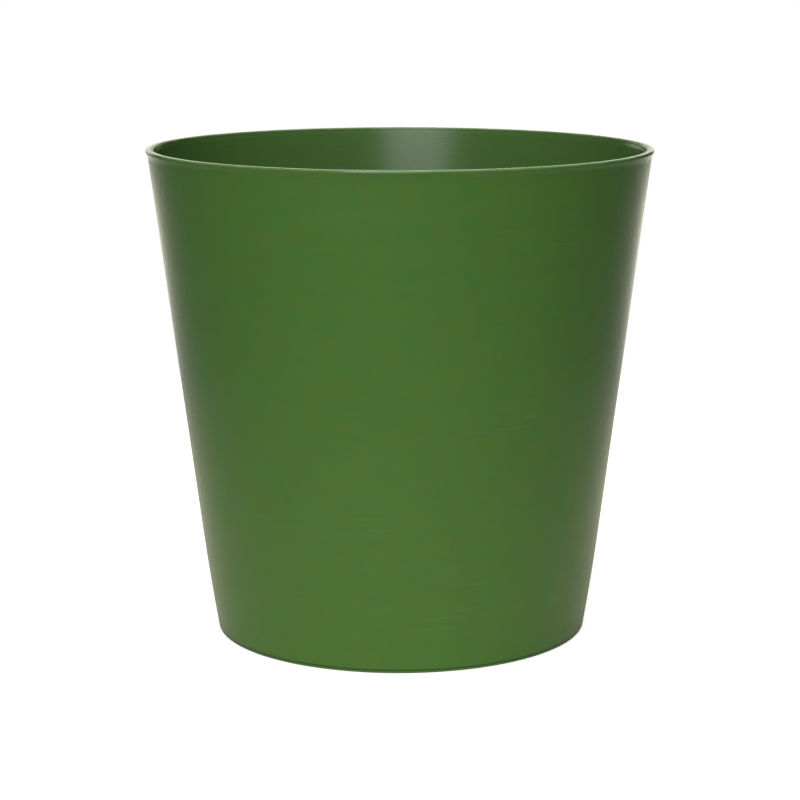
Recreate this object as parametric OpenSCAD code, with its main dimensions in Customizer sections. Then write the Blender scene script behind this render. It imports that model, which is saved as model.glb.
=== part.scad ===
// Florist bucket: one tapered round moulding, open at the top.
// The origin is the middle of the standing face, +Z is up, and lengths are in millimetres.

/* [Body] */
// Height from the standing face to the top of the rim
height = 242; // [190:1:300]
// Largest diameter, over the rim bead
rim_d = 250; // [220:1:320]
// Diameter where the straight taper would meet the standing face
base_d = 187.6; // [150:0.2:200]
// Thickness of the side wall, measured level
wall_t = 3.1; // [2.4:0.1:4.5]

/* [Rim] */
// How far the bead stands out from the side wall
bead_out = 0.6; // [0.3:0.1:1]
// Height of the bead from the top of the rim down to the plain wall
bead_h = 3; // [2.6:0.1:5]
// Height of the upright face of the bead
bead_face_h = 0.5; // [0.2:0.1:1]
// Radius on the two upper edges of the rim
rim_edge_r = 0.9; // [0.4:0.1:1.2]
// Height of the upright band inside the mouth
lip_h = 2.3; // [2:0.1:5]
// Height of the sloping step from that band to the plain wall
step_h = 0.6; // [0.4:0.1:1.5]

/* [Foot] */
// How far the wall draws in at the foot, beyond its straight taper
foot_draw = 1.1; // [0.4:0.1:2]
// Height at which the wall starts to draw in
foot_draw_h = 50; // [30:1:80]
// Radius on the outer edge of the foot
foot_edge_r = 1.2; // [0.6:0.1:2]
// Width of the level face that the bucket stands on
ring_w = 5; // [3:0.5:8]
// Height of the hollow under the floor
hollow_h = 2.5; // [1.5:0.1:4]
// Level width of the slope on the inner side of the standing ring
ring_slope_w = 1; // [0.5:0.1:2]

/* [Floor] */
// Thickness of the floor
floor_t = 3; // [2.4:0.1:4.5]
// Radius between the floor and the side wall, inside
floor_fillet_r = 6; // [3:0.5:10]
// Radius of the round gate mark in the middle of the underside
gate_r = 4; // [2:0.5:8]
// Depth of the gate mark
gate_depth = 0.5; // [0.2:0.1:0.8]

/* [Hidden] */
$fn = 240;

arc_steps = 8;
draw_steps = 10;

base_r = base_d / 2;
rim_r = rim_d / 2;
taper = (rim_r - bead_out - base_r) / height;
lip_r = rim_r - bead_out - wall_t;
floor_z = hollow_h + floor_t;

// Outer radius of the side wall at height z: a straight taper that draws in towards the foot.
function draw_share(z) = max(0, 1 - z / foot_draw_h);
function outer_r(z) = base_r + taper * z - foot_draw * pow(draw_share(z), 2);
function inner_r(z) = outer_r(z) - wall_t;

// Lean of the side wall away from upright at height z, in degrees.
function lean(z) = atan(taper + 2 * foot_draw / foot_draw_h * draw_share(z));

// Points on an arc about c, from angle a0 to angle a1.
function arc(c, r, a0, a1) =
    [for (i = [0:arc_steps]) let (a = a0 + (a1 - a0) * i / arc_steps) c + r * [cos(a), sin(a)]];

// Points down or up one face of the drawn-in stretch; side is 0 outside and wall_t inside.
function drawn_wall(side, z0, z1) =
    [for (i = [0:draw_steps]) let (z = z0 + (z1 - z0) * i / draw_steps) [outer_r(z) - side, z]];

// Height at which an edge radius r, resting at height z, meets a wall that leans.
function meet_z(r, z) = z + r - r * sin(lean(z));

foot_meet_z = meet_z(foot_edge_r, 0);
foot_flat_r = outer_r(foot_meet_z) - foot_edge_r * cos(lean(0));
fillet_meet_z = meet_z(floor_fillet_r, floor_z);
floor_flat_r = inner_r(fillet_meet_z) - floor_fillet_r * cos(lean(floor_z));
step_bottom_z = height - lip_h - step_h;

// Underside: gate mark, hollow, sloping side of the ring, standing face.
underside = [
    [0, hollow_h + gate_depth],
    [gate_r, hollow_h + gate_depth],
    [gate_r, hollow_h],
    [foot_flat_r - ring_w - ring_slope_w, hollow_h],
    [foot_flat_r - ring_w, 0]
];

// Outside: foot edge, drawn-in stretch, straight taper, bead.
outside = concat(
    arc([foot_flat_r, foot_edge_r], foot_edge_r, -90, -lean(0)),
    drawn_wall(0, foot_meet_z + 1, foot_draw_h),
    [
        [outer_r(height - bead_h), height - bead_h],
        [rim_r, height - rim_edge_r - bead_face_h]
    ]
);

// Rim: rounded outer edge, flat land, rounded inner edge.
rim = concat(
    arc([rim_r - rim_edge_r, height - rim_edge_r], rim_edge_r, 0, 90),
    arc([lip_r + rim_edge_r, height - rim_edge_r], rim_edge_r, 90, 180)
);

// Inside: upright band, step, side wall, fillet, floor.
inside = concat(
    [
        [lip_r, height - lip_h],
        [inner_r(step_bottom_z), step_bottom_z]
    ],
    drawn_wall(wall_t, foot_draw_h, fillet_meet_z + 1),
    arc([floor_flat_r, floor_z + floor_fillet_r], floor_fillet_r, -lean(floor_z), -90),
    [[0, floor_z]]
);

module bucket() {
    color("#4a7033")
        rotate_extrude()
            polygon(concat(underside, outside, rim, inside));
}

bucket();
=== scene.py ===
"""The looks of the florist bucket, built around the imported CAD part. Lengths are in metres."""

import math

import bpy
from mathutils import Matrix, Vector


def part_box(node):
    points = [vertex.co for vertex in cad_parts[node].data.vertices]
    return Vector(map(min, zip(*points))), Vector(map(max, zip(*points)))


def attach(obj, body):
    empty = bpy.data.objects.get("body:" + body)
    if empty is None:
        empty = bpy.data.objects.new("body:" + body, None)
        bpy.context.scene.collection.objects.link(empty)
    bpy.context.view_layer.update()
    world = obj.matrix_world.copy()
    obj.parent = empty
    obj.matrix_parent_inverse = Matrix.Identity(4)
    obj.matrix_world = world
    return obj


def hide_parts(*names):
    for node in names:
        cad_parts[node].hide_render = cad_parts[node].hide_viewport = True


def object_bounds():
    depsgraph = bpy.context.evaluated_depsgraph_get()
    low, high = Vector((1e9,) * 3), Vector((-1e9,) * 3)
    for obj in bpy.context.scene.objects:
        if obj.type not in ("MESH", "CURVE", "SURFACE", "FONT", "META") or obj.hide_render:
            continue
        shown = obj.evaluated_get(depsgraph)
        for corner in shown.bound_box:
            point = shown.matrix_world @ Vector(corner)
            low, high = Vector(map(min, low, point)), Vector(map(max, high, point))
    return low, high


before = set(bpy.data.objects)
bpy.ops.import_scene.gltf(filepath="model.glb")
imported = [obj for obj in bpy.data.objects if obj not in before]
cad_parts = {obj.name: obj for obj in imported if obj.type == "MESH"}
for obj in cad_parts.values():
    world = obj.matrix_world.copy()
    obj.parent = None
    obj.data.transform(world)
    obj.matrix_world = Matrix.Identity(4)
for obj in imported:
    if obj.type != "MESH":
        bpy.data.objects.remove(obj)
cad_low, cad_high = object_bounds()

# The moulding. Its height and rim come from the part's box in model.glb, and the rest repeats
# the part's own sizes, apart from the step inside the mouth (LIP_H and STEP_H), which is gentler here than
# in the part.
# FOOT_BENDS says where the drawn-in stretch above the foot has its corners, as shares of its height.
low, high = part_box("bucket")
HEIGHT = high.z - low.z
RIM_R = (high.x - low.x) / 2
BASE_R = 0.0938
WALL = 0.0031
BEAD_OUT = 0.0006
BEAD_H = 0.003
BEAD_FACE_H = 0.0005
RIM_EDGE_R = 0.0009
LIP_H = 0.0012
STEP_H = 0.0017
FOOT_DRAW = 0.0011
FOOT_DRAW_H = 0.05
FOOT_BENDS = (0.12, 0.25, 0.4, 0.6, 0.8, 1.0)
FOOT_EDGE_R = 0.0012
RING_W = 0.005
RING_SLOPE_W = 0.001
HOLLOW_H = 0.0025
FLOOR_T = 0.003
FLOOR_FILLET_R = 0.006
GATE_R = 0.004
GATE_DEPTH = 0.0005

# Radii that round off the section's other corners, which are left sharp in the part.
GATE_EDGE = 0.0002
HOLLOW_EDGE = 0.0008
RING_EDGE = 0.0004
BEAD_EDGE = 0.0012
BEAD_BLEND = 0.007
LIP_EDGE = 0.0011
WALL_BEND = 0.02

TAPER = (RIM_R - BEAD_OUT - BASE_R) / HEIGHT
FLOOR_Z = HOLLOW_H + FLOOR_T

# How finely the shell is meshed. EDGE_HOLD is how far past each arc the surface is held straight.
SEGMENTS = 320
ARC_STEP = math.radians(12)
WALL_STEP = 0.005
EDGE_HOLD = 0.0002

# The photograph's viewpoint: in front of the bucket and a little above its rim, looking down. The
# lens is shifted sideways, because the photograph is cropped off its own centre.
CAMERA_BACK = 1.19234
CAMERA_UP = 0.34427
CAMERA_RIGHT = 0.02058
CAMERA_SHIFT = -0.05275
CAMERA_DOWN = math.radians(10.9025)
CAMERA_ROLL = math.radians(-0.065)
CAMERA_LENS = 108.45

# How much of the paper's brightness near the foot no shadow can take away.
GLOW_NEAR = 0.8

# The plastic's colours: the two that mottle it, a greyer inside that is painted sheen, its rubs, a dark
# line above the foot that is painted shade, and pale edges that are wear, with painted highlight on the
# rim.
GREEN = (0.069, 0.203, 0.033, 1)
OLIVE = (0.085, 0.200, 0.027, 1)
INSIDE_SHEEN_GREY = (0.086, 0.180, 0.050, 1)
RUBBED = (0.24, 0.34, 0.18, 1)
FOOT_SHADE = (0.020, 0.045, 0.008, 1)
PALE_WEAR_AND_HIGHLIGHT = (0.44, 0.45, 0.28, 1)

# Where the pale edges start to show and are full, down from the top of the rim and up from the foot. On the
# rim they are wear and painted highlight, at the foot wear.
RIM_WEAR_AND_HIGHLIGHT = (0.0009, 0.0003)
FOOT_WEAR = (0.0010, 0.0002)

# Heights at which the line of painted shade above the foot starts, is full, starts to fade and ends.
FOOT_SHADE_HEIGHTS = (0.0012, 0.0015, 0.0019, 0.0022)

# The paper as the bucket reflects it, near the foot and farther off: a painted pool of warm light that
# fades to grey.
PAPER_NEAR_LIT = (0.92, 0.90, 0.72, 1)
PAPER_FAR_SHADED = (0.34, 0.34, 0.34, 1)


def draw_share(z):
    """How much of the foot's extra draw-in applies at height z."""
    return max(0.0, 1 - z / FOOT_DRAW_H)


def outer_r(z):
    """Outer radius of the side wall at height z."""
    return BASE_R + TAPER * z - FOOT_DRAW * draw_share(z) ** 2


def inner_r(z):
    """Inner radius of the side wall at height z."""
    return outer_r(z) - WALL


def outline():
    """The corners of the bucket's section as (radius, height, rounding), from the underside's centre
    round the outside and the rim to the floor's centre."""
    foot_r = outer_r(0)
    ring_r = foot_r - FOOT_EDGE_R - RING_W
    lip_r = RIM_R - BEAD_OUT - WALL
    step_z = HEIGHT - LIP_H - STEP_H
    bead_z = HEIGHT - BEAD_H
    bends = [FOOT_DRAW_H * share for share in FOOT_BENDS]
    wall_outside = [(outer_r(z), z, WALL_BEND) for z in bends]
    # The two lowest bends are left out inside, which leaves room for the floor's fillet.
    wall_inside = [(inner_r(z), z, WALL_BEND) for z in reversed(bends[2:])]
    return [
        (0, HOLLOW_H + GATE_DEPTH, 0),
        (GATE_R, HOLLOW_H + GATE_DEPTH, GATE_EDGE),
        (GATE_R, HOLLOW_H, GATE_EDGE),
        (ring_r - RING_SLOPE_W, HOLLOW_H, HOLLOW_EDGE),
        (ring_r, 0, RING_EDGE),
        (foot_r, 0, FOOT_EDGE_R),
        *wall_outside,
        (outer_r(bead_z), bead_z, BEAD_BLEND),
        (RIM_R, HEIGHT - RIM_EDGE_R - BEAD_FACE_H, BEAD_EDGE),
        (RIM_R, HEIGHT, RIM_EDGE_R),
        (lip_r, HEIGHT, RIM_EDGE_R),
        (lip_r, HEIGHT - LIP_H, LIP_EDGE),
        (inner_r(step_z), step_z, LIP_EDGE),
        *wall_inside,
        (inner_r(FLOOR_Z), FLOOR_Z, FLOOR_FILLET_R),
        (0, FLOOR_Z, 0),
    ]


def bend(before, corner, after):
    """The two directions away from a corner, how far the line turns there, and how far its arc reaches."""
    at = Vector(corner[:2])
    back = (Vector(before[:2]) - at).normalized()
    on = (Vector(after[:2]) - at).normalized()
    turn = math.pi - back.angle(on)
    return back, on, turn, corner[2] * math.tan(turn / 2)


def arc(corner, back, on, turn, reach):
    """The points of one corner's arc, from the stretch before it to the stretch after it."""
    at = Vector(corner[:2])
    centre = at + (back + on).normalized() * (corner[2] / math.cos(turn / 2))
    first = at + back * reach - centre
    side = math.copysign(1, back.x * on.y - back.y * on.x)
    steps = max(2, math.ceil(turn / ARC_STEP))
    points = []
    for i in range(steps + 1):
        angle = -side * turn * i / steps
        cos, sin = math.cos(angle), math.sin(angle)
        points.append(centre + Vector((cos * first.x - sin * first.y, sin * first.x + cos * first.y)))
    return points


def rounded(corners):
    """The section's points: each corner is an arc, and each straight stretch is held flat near its ends."""
    bends = [bend(*three) for three in zip(corners, corners[1:], corners[2:])]
    reaches = [0, *[reach for back, on, turn, reach in bends], 0]
    holds = []
    for i in range(len(corners) - 1):
        length = (Vector(corners[i + 1][:2]) - Vector(corners[i][:2])).length
        holds.append(min(EDGE_HOLD, (length - reaches[i] - reaches[i + 1]) / 3))
    points = [Vector(corners[0][:2])]
    for k, (corner, (back, on, turn, reach)) in enumerate(zip(corners[1:], bends)):
        at = Vector(corner[:2])
        points.append(at + back * (reach + holds[k]))
        points += arc(corner, back, on, turn, reach)
        points.append(at + on * (reach + holds[k + 1]))
    points.append(Vector(corners[-1][:2]))
    return points


def even_steps(points):
    """Adds points so that no stretch is longer than WALL_STEP."""
    fine = [points[0]]
    for a, b in zip(points, points[1:]):
        parts = max(1, math.ceil((b - a).length / WALL_STEP))
        fine += [a.lerp(b, i / parts) for i in range(1, parts + 1)]
    return fine


def bucket_mesh():
    """The section turned about Z into one closed mesh."""
    section = even_steps(rounded(outline()))
    rings = section[1:-1]
    verts = [(0, 0, section[0].y), (0, 0, section[-1].y)]
    for r, z in rings:
        for i in range(SEGMENTS):
            angle = math.tau * i / SEGMENTS
            verts.append((r * math.cos(angle), r * math.sin(angle), z))
    faces = []
    last = 2 + (len(rings) - 1) * SEGMENTS
    for i in range(SEGMENTS):
        j = (i + 1) % SEGMENTS
        faces.append((0, 2 + j, 2 + i))
        faces.append((1, last + i, last + j))
        for k in range(len(rings) - 1):
            a = 2 + k * SEGMENTS
            b = a + SEGMENTS
            faces.append((a + i, a + j, b + j, b + i))
    mesh = bpy.data.meshes.new("bucket_shell")
    mesh.from_pydata(verts, [], faces)
    mesh.shade_smooth()
    return mesh


def node(tree, kind, **settings):
    """A new shader node. A setting whose name is an input's goes to that input."""
    made = tree.nodes.new(kind)
    for name, value in settings.items():
        label = name.replace("_", " ")
        socket = next((s for s in made.inputs if s.name.lower() == label and s.enabled), None)
        if socket:
            socket.default_value = value
        else:
            setattr(made, name, value)
    return made


def noise_of(tree, vector, stretch, scale, detail=3.0):
    """Noise over the piece's own coordinates, with each axis stretched by its own amount."""
    mapping = node(tree, "ShaderNodeMapping", scale=stretch)
    tree.links.new(vector, mapping.inputs["Vector"])
    made = node(tree, "ShaderNodeTexNoise", scale=scale, detail=detail)
    tree.links.new(mapping.outputs["Vector"], made.inputs["Vector"])
    return made.outputs["Fac"]


def spread(tree, value, from_low, from_high, to_low, to_high):
    """A value moved from one range to another, and held inside it."""
    made = node(
        tree,
        "ShaderNodeMapRange",
        from_min=from_low,
        from_max=from_high,
        to_min=to_low,
        to_max=to_high,
    )
    tree.links.new(value, made.inputs["Value"])
    return made.outputs["Result"]


def wear_and_rim_highlight(tree, place):
    """How much the edges pale: patchy along the rim and the foot's edge, and clean elsewhere. At the foot
    this is wear; on the rim it is wear and painted highlight, which pales the rim's top everywhere a
    little.
    """
    link = tree.links.new
    where = node(tree, "ShaderNodeSeparateXYZ")
    link(place, where.inputs["Vector"])
    rim = spread(tree, where.outputs["Z"], HEIGHT - RIM_WEAR_AND_HIGHLIGHT[0], HEIGHT - RIM_WEAR_AND_HIGHLIGHT[1], 0, 1)
    foot = spread(tree, where.outputs["Z"], FOOT_WEAR[1], FOOT_WEAR[0], 0.2, 0)
    edges = node(tree, "ShaderNodeMath", operation="MAXIMUM")
    link(rim, edges.inputs[0])
    link(foot, edges.inputs[1])
    patches = noise_of(tree, place, (1, 1, 1), 70, 4)
    paled = node(tree, "ShaderNodeMath", operation="MULTIPLY")
    link(edges.outputs["Value"], paled.inputs[0])
    link(spread(tree, patches, 0.38, 0.62, 0.12, 0.36), paled.inputs[1])
    return paled.outputs["Value"]


def painted_foot_shade(tree, place):
    """A thin line of painted shade just above the foot's rounded edge."""
    link = tree.links.new
    where = node(tree, "ShaderNodeSeparateXYZ")
    link(place, where.inputs["Vector"])
    start, full, fade, end = FOOT_SHADE_HEIGHTS
    both = node(tree, "ShaderNodeMath", operation="MULTIPLY")
    link(spread(tree, where.outputs["Z"], start, full, 0, 0.85), both.inputs[0])
    link(spread(tree, where.outputs["Z"], end, fade, 0, 1), both.inputs[1])
    return both.outputs["Value"]


def inside_mask(tree, place):
    """0 on the wall's outer face, and 1 past the middle of its thickness: inside, and on the underside."""
    link = tree.links.new
    where = node(tree, "ShaderNodeSeparateXYZ")
    link(place, where.inputs["Vector"])
    flat = node(tree, "ShaderNodeVectorMath", operation="MULTIPLY")
    flat.inputs[1].default_value = (1, 1, 0)
    link(place, flat.inputs[0])
    across = node(tree, "ShaderNodeVectorMath", operation="LENGTH")
    link(flat.outputs["Vector"], across.inputs[0])
    straight = node(tree, "ShaderNodeMath", operation="MULTIPLY_ADD")
    link(where.outputs["Z"], straight.inputs[0])
    straight.inputs[1].default_value = -TAPER
    link(across.outputs["Value"], straight.inputs[2])
    return spread(tree, straight.outputs["Value"], BASE_R - 0.7 * WALL, BASE_R - 0.5 * WALL, 1, 0)


def scuffs(tree, place):
    """Sparse pale rubs, level like the grain, where two patterns both run high."""
    link = tree.links.new
    lines = noise_of(tree, place, (1, 1, 16), 38, 2)
    areas = noise_of(tree, place, (1, 1, 2), 13, 1)
    both = node(tree, "ShaderNodeMath", operation="MULTIPLY")
    link(spread(tree, lines, 0.6, 0.72, 0, 1), both.inputs[0])
    link(spread(tree, areas, 0.54, 0.66, 0, 0.09), both.inputs[1])
    return both.outputs["Value"]


def colour_mix(tree, factor, first, second):
    """Two colours blended by a factor. The first may be a plain colour or another node's output."""
    mix = node(tree, "ShaderNodeMix", data_type="RGBA")
    tree.links.new(factor, mix.inputs["Factor"])
    if isinstance(first, tuple):
        mix.inputs["A"].default_value = first
    else:
        tree.links.new(first, mix.inputs["A"])
    mix.inputs["B"].default_value = second
    return mix.outputs["Result"]


def plastic_colour(tree, place, grain, within):
    """Mottled green with faint level streaks, greyed inside as painted sheen, with rubs, a line of painted
    shade above the foot, and pale edges that are wear, with painted highlight on the rim.
    """
    link = tree.links.new
    bands = noise_of(tree, place, (1, 1, 22), 9, 3)
    clouds = spread(tree, noise_of(tree, place, (1, 1, 1.6), 95, 5), 0.34, 0.66, 0, 1)
    tint = colour_mix(tree, clouds, GREEN, OLIVE)
    # Inside and underneath the colour is greyed: painted sheen.
    tint = colour_mix(tree, spread(tree, within, 0, 1, 0, 0.7), tint, INSIDE_SHEEN_GREY)
    streaks = node(tree, "ShaderNodeMath", operation="ADD")
    link(spread(tree, grain, 0.25, 0.75, 0.484, 0.516), streaks.inputs[0])
    link(spread(tree, bands, 0.3, 0.7, 0.486, 0.514), streaks.inputs[1])
    shade = node(tree, "ShaderNodeHueSaturation")
    link(tint, shade.inputs["Color"])
    link(streaks.outputs["Value"], shade.inputs["Value"])
    colour = colour_mix(tree, scuffs(tree, place), shade.outputs["Color"], RUBBED)
    # A dark line just above the foot: painted shade.
    colour = colour_mix(tree, painted_foot_shade(tree, place), colour, FOOT_SHADE)
    # Pale edges: wear at the foot, wear and painted highlight on the rim.
    return colour_mix(tree, wear_and_rim_highlight(tree, place), colour, PALE_WEAR_AND_HIGHLIGHT)


def green_plastic():
    """Satin green polypropylene with the mould's level grain, and a little rougher inside."""
    material = bpy.data.materials.new("green_plastic")
    material.use_nodes = True
    tree = material.node_tree
    link = tree.links.new
    shader = tree.nodes["Principled BSDF"]
    place = node(tree, "ShaderNodeTexCoord").outputs["Object"]
    grain = noise_of(tree, place, (1, 1, 14), 110, 5)
    within = inside_mask(tree, place)
    link(plastic_colour(tree, place, grain, within), shader.inputs["Base Color"])

    rough = node(tree, "ShaderNodeMath", operation="ADD")
    link(spread(tree, grain, 0.3, 0.7, 0.19, 0.215), rough.inputs[0])
    link(spread(tree, within, 0, 1, 0, 0.065), rough.inputs[1])
    link(rough.outputs["Value"], shader.inputs["Roughness"])
    shader.inputs["IOR"].default_value = 1.47

    bump = node(tree, "ShaderNodeBump", strength=0.35, distance=0.000008)
    link(grain, bump.inputs["Height"])
    link(bump.outputs["Normal"], shader.inputs["Normal"])
    return material


def make_bucket():
    """The visual piece, which stands for the CAD bucket."""
    piece = bpy.data.objects.new("bucket_shell", bucket_mesh())
    bpy.context.scene.collection.objects.link(piece)
    piece.data.materials.append(green_plastic())
    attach(piece, "root")
    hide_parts("bucket")


def camera_only(tree, seen, lighting):
    """One shader for what the camera sees directly and another for the light that reaches the bucket."""
    path = node(tree, "ShaderNodeLightPath")
    mix = node(tree, "ShaderNodeMixShader")
    tree.links.new(path.outputs["Is Camera Ray"], mix.inputs[0])
    tree.links.new(lighting, mix.inputs[1])
    tree.links.new(seen, mix.inputs[2])
    return mix.outputs[0]


def make_world():
    """A white backdrop to look at, and a dim room to be lit by."""
    world = bpy.data.worlds.new("studio")
    bpy.context.scene.world = world
    world.use_nodes = True
    tree = world.node_tree
    tree.nodes.clear()
    white = node(tree, "ShaderNodeBackground", color=(1, 1, 1, 1), strength=1.0)
    dim = node(tree, "ShaderNodeBackground", color=(1, 1, 1, 1), strength=0.01)
    out = node(tree, "ShaderNodeOutputWorld")
    tree.links.new(camera_only(tree, white.outputs[0], dim.outputs[0]), out.inputs["Surface"])


def bright_sheet(tree, away):
    """The paper as the camera sees it: overexposed, with only the contact shadow left near the foot."""
    link = tree.links.new
    sheet = node(tree, "ShaderNodeBsdfDiffuse", color=(0.75, 0.75, 0.75, 1))
    glow = node(tree, "ShaderNodeEmission", color=(1, 1, 1, 1), strength=GLOW_NEAR)
    near = node(tree, "ShaderNodeAddShader")
    link(sheet.outputs[0], near.inputs[0])
    link(glow.outputs[0], near.inputs[1])
    far = node(tree, "ShaderNodeEmission", color=(1, 1, 1, 1), strength=1.0)
    seen = node(tree, "ShaderNodeMixShader")
    link(spread(tree, away, 2 * RIM_R, 6 * RIM_R, 0, 1), seen.inputs[0])
    link(near.outputs[0], seen.inputs[1])
    link(far.outputs[0], seen.inputs[2])
    return seen.outputs[0]


def painted_light_board(tree, away):
    """The paper as the bucket is lit by it and reflects it: a painted pool of creamy light near the foot,
    fading to grey farther off.
    """
    board = node(tree, "ShaderNodeBsdfDiffuse")
    fade = spread(tree, away, 0.8 * RIM_R, 4.8 * RIM_R, 0, 1)
    tree.links.new(colour_mix(tree, fade, PAPER_NEAR_LIT, PAPER_FAR_SHADED), board.inputs["Color"])
    return board.outputs[0]


def paper():
    """Pale paper whose brightness depends on the distance from the bucket's axis."""
    material = bpy.data.materials.new("paper")
    material.use_nodes = True
    tree = material.node_tree
    tree.nodes.clear()
    link = tree.links.new
    away = node(tree, "ShaderNodeVectorMath", operation="LENGTH")
    link(node(tree, "ShaderNodeTexCoord").outputs["Object"], away.inputs[0])
    seen = bright_sheet(tree, away.outputs["Value"])
    board = painted_light_board(tree, away.outputs["Value"])
    out = node(tree, "ShaderNodeOutputMaterial")
    link(camera_only(tree, seen, board), out.inputs["Surface"])
    return material


def make_floor():
    """A wide sheet of paper just under the standing face."""
    size = 12
    mesh = bpy.data.meshes.new("floor")
    corners = [(-size, -size, 0), (size, -size, 0), (size, size, 0), (-size, size, 0)]
    mesh.from_pydata(corners, [], [(0, 1, 2, 3)])
    mesh.materials.append(paper())
    floor = bpy.data.objects.new("floor", mesh)
    floor.location.z = cad_low.z - 0.0001
    bpy.context.scene.collection.objects.link(floor)


def softbox(name, azimuth, elevation, distance, width, tall, radiance, color=(1, 1, 1)):
    """A soft lamp aimed at the bucket's middle. Azimuth 0 is the camera's side, 90 is +X."""
    lamp = bpy.data.lights.new(name, "AREA")
    lamp.shape = "RECTANGLE"
    lamp.size, lamp.size_y = width, tall
    lamp.energy = radiance * math.pi * width * tall
    lamp.color = color
    thing = bpy.data.objects.new(name, lamp)
    a, e = math.radians(azimuth), math.radians(elevation)
    away = Vector((math.sin(a) * math.cos(e), -math.cos(a) * math.cos(e), math.sin(e)))
    thing.location = Vector((0, 0, HEIGHT / 2)) + away * distance
    thing.rotation_euler = away.to_track_quat("Z", "Y").to_euler()
    thing.visible_camera = False
    bpy.context.scene.collection.objects.link(thing)


def floor_wash():
    """A warm lamp over the paper behind the bucket, whose cone barely reaches the bucket itself."""
    lamp = bpy.data.lights.new("floor_wash", "AREA")
    lamp.size = 0.5
    lamp.spread = math.radians(100)
    lamp.energy = 31.0
    lamp.color = (1.0, 0.97, 0.8)
    thing = bpy.data.objects.new("floor_wash", lamp)
    thing.location = (0, 1.5, 1.3)
    thing.visible_camera = False
    bpy.context.scene.collection.objects.link(thing)


def make_lights():
    """A tall softbox by the camera, panels above, a weak one to the right, and light from behind:
    a low strip that the rim reflects, and the lamp over the paper."""
    # Each has its azimuth, elevation, distance, width, height and radiance. The last has a colour too.
    softbox("key", -8, 18, 2.4, 1.35, 1.8, 3.32)
    softbox("front_top", -9, 66, 2.4, 1.2, 1.0, 5.6)
    softbox("overhead", 0, 89, 2.0, 1.4, 1.4, 1.6)
    softbox("right_fill", 42, 42, 2.4, 1.0, 1.0, 0.25)
    softbox("back_strip", 188, 7, 2.4, 2.6, 0.5, 1.5, (0.98, 1, 0.88))
    floor_wash()


def make_camera():
    """The photograph's viewpoint and lens."""
    lens = bpy.data.cameras.new("camera")
    lens.lens = CAMERA_LENS
    lens.sensor_width = 36
    lens.shift_x = CAMERA_SHIFT
    lens.clip_start, lens.clip_end = 0.05, 60
    camera = bpy.data.objects.new("camera", lens)
    camera.location = (CAMERA_RIGHT, -CAMERA_BACK, CAMERA_UP)
    camera.rotation_euler = (math.pi / 2 - CAMERA_DOWN, CAMERA_ROLL, 0)
    bpy.context.scene.collection.objects.link(camera)
    bpy.context.scene.camera = camera


make_camera()
make_world()
make_floor()
make_lights()
make_bucket()
bpy.context.scene.view_settings.view_transform = "Standard"
